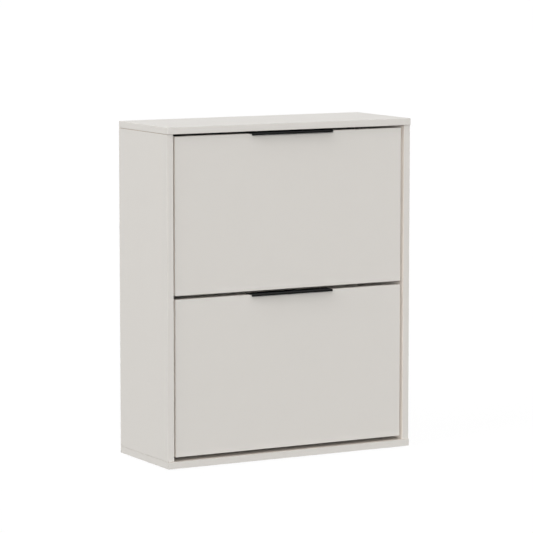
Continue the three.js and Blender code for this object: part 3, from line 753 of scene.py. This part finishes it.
CHEEK_ROUND = 0.3 * MM
CHEEK_EDGE_ANGLE = 60  # degrees


def add_cheeks():
    for flap in FLAPS:
        for side, _ in SIDES:
            plastic = MATERIALS["plastic"]
            finished(f"{flap}_cheek_{side}", plastic, CHEEK_ROUND, CHEEK_EDGE_ANGLE)


# ---------------------------------------------------------------- studio

FLOOR_HALF = 60.0
PAPER_DARK = (0.049, 0.049, 0.049)
PAPER_LIGHT = (0.051, 0.051, 0.051)
FLOOR_GLOW = 0.955  # the floor looks white, yet throws little light up

# Soft lights far off: azimuth and elevation of the side they come from, how wide they
# spread, in degrees, and their strength.
LIGHTS = (
    ("front_light", -30, 8, 20, 2.81),
    ("front_fill", -30, 35, 30, 0.60),
    ("high_light", -30, 65, 40, 0.50),
    ("left_light", -80, 35, 30, 1.57),
    ("right_light", 105, 8, 25, 2.0),
)
UNMIRRORED = "front_light"  # its mirror image would bleach the top panel from behind
DOME = 0.08
GLOW_BEHIND = 1.05
GLOW_FROM, GLOW_TO = 0.2, 0.7  # how far toward the rear the glow starts, and is full
WHITE_BEHIND = 1.01  # what the camera sees behind the cabinet


def add_light(name, azimuth, elevation, spread, strength):
    data = bpy.data.lights.new(name, "SUN")
    data.angle = math.radians(spread)
    data.energy = strength
    light = bpy.data.objects.new(name, data)
    toward = bearing(math.radians(azimuth), math.radians(elevation))
    light.rotation_euler = toward.to_track_quat("Z", "Y").to_euler()
    light.visible_glossy = name != UNMIRRORED
    bpy.context.scene.collection.objects.link(light)


def add_world():
    """An even dome with a brighter wall behind the cabinet; white where it is looked at."""
    world = bpy.data.worlds.new("studio")
    world.use_nodes = True
    tree = world.node_tree
    place = tree.nodes.new("ShaderNodeTexCoord")
    parts = tree.nodes.new("ShaderNodeSeparateXYZ")
    tree.links.new(place.outputs["Generated"], parts.inputs[0])
    behind = tree.nodes.new("ShaderNodeMapRange")
    behind.interpolation_type = "SMOOTHSTEP"
    tree.links.new(parts.outputs["Y"], behind.inputs["Value"])
    behind.inputs["From Min"].default_value = GLOW_FROM
    behind.inputs["From Max"].default_value = GLOW_TO
    behind.inputs["To Min"].default_value = DOME
    behind.inputs["To Max"].default_value = DOME + GLOW_BEHIND
    path = tree.nodes.new("ShaderNodeLightPath")
    strength = tree.nodes.new("ShaderNodeMix")
    tree.links.new(path.outputs["Is Camera Ray"], strength.inputs["Factor"])
    tree.links.new(behind.outputs["Result"], strength.inputs["A"])
    strength.inputs["B"].default_value = WHITE_BEHIND
    tree.links.new(strength.outputs["Result"], tree.nodes["Background"].inputs["Strength"])
    tree.nodes["Background"].inputs["Color"].default_value = (1, 1, 1, 1)
    bpy.context.scene.world = world


def add_floor():
    bm = bmesh.new()
    corners = ((-1, -1), (1, -1), (1, 1), (-1, 1))
    bm.faces.new([bm.verts.new((u * FLOOR_HALF, v * FLOOR_HALF, 0)) for u, v in corners])
    floor = new_piece("floor", bm)
    paper = Shader("pale_paper", Specular_IOR_Level=0.0)
    tone = paper.spread(paper.noise(40, 3))
    paper.wear((paper.blend(tone, PAPER_DARK, PAPER_LIGHT), 0.9, 0.0))
    path = paper.tree.nodes.new("ShaderNodeLightPath")
    glow = paper.compute("MULTIPLY", path.outputs["Is Camera Ray"], FLOOR_GLOW)
    paper.put(paper.surface.inputs["Emission Strength"], glow)
    paper.surface.inputs["Emission Color"].default_value = (1, 1, 1, 1)
    floor.data.materials.append(paper.material)


def add_studio():
    for light in LIGHTS:
        add_light(*light)
    add_world()
    add_floor()
    scene = bpy.context.scene
    scene.view_settings.view_transform = "Standard"
    scene.cycles.use_denoising = True


add_camera()
add_boards()
for flap_name in FLAPS:
    add_handle(flap_name)
add_fittings()
add_cheeks()
add_studio()
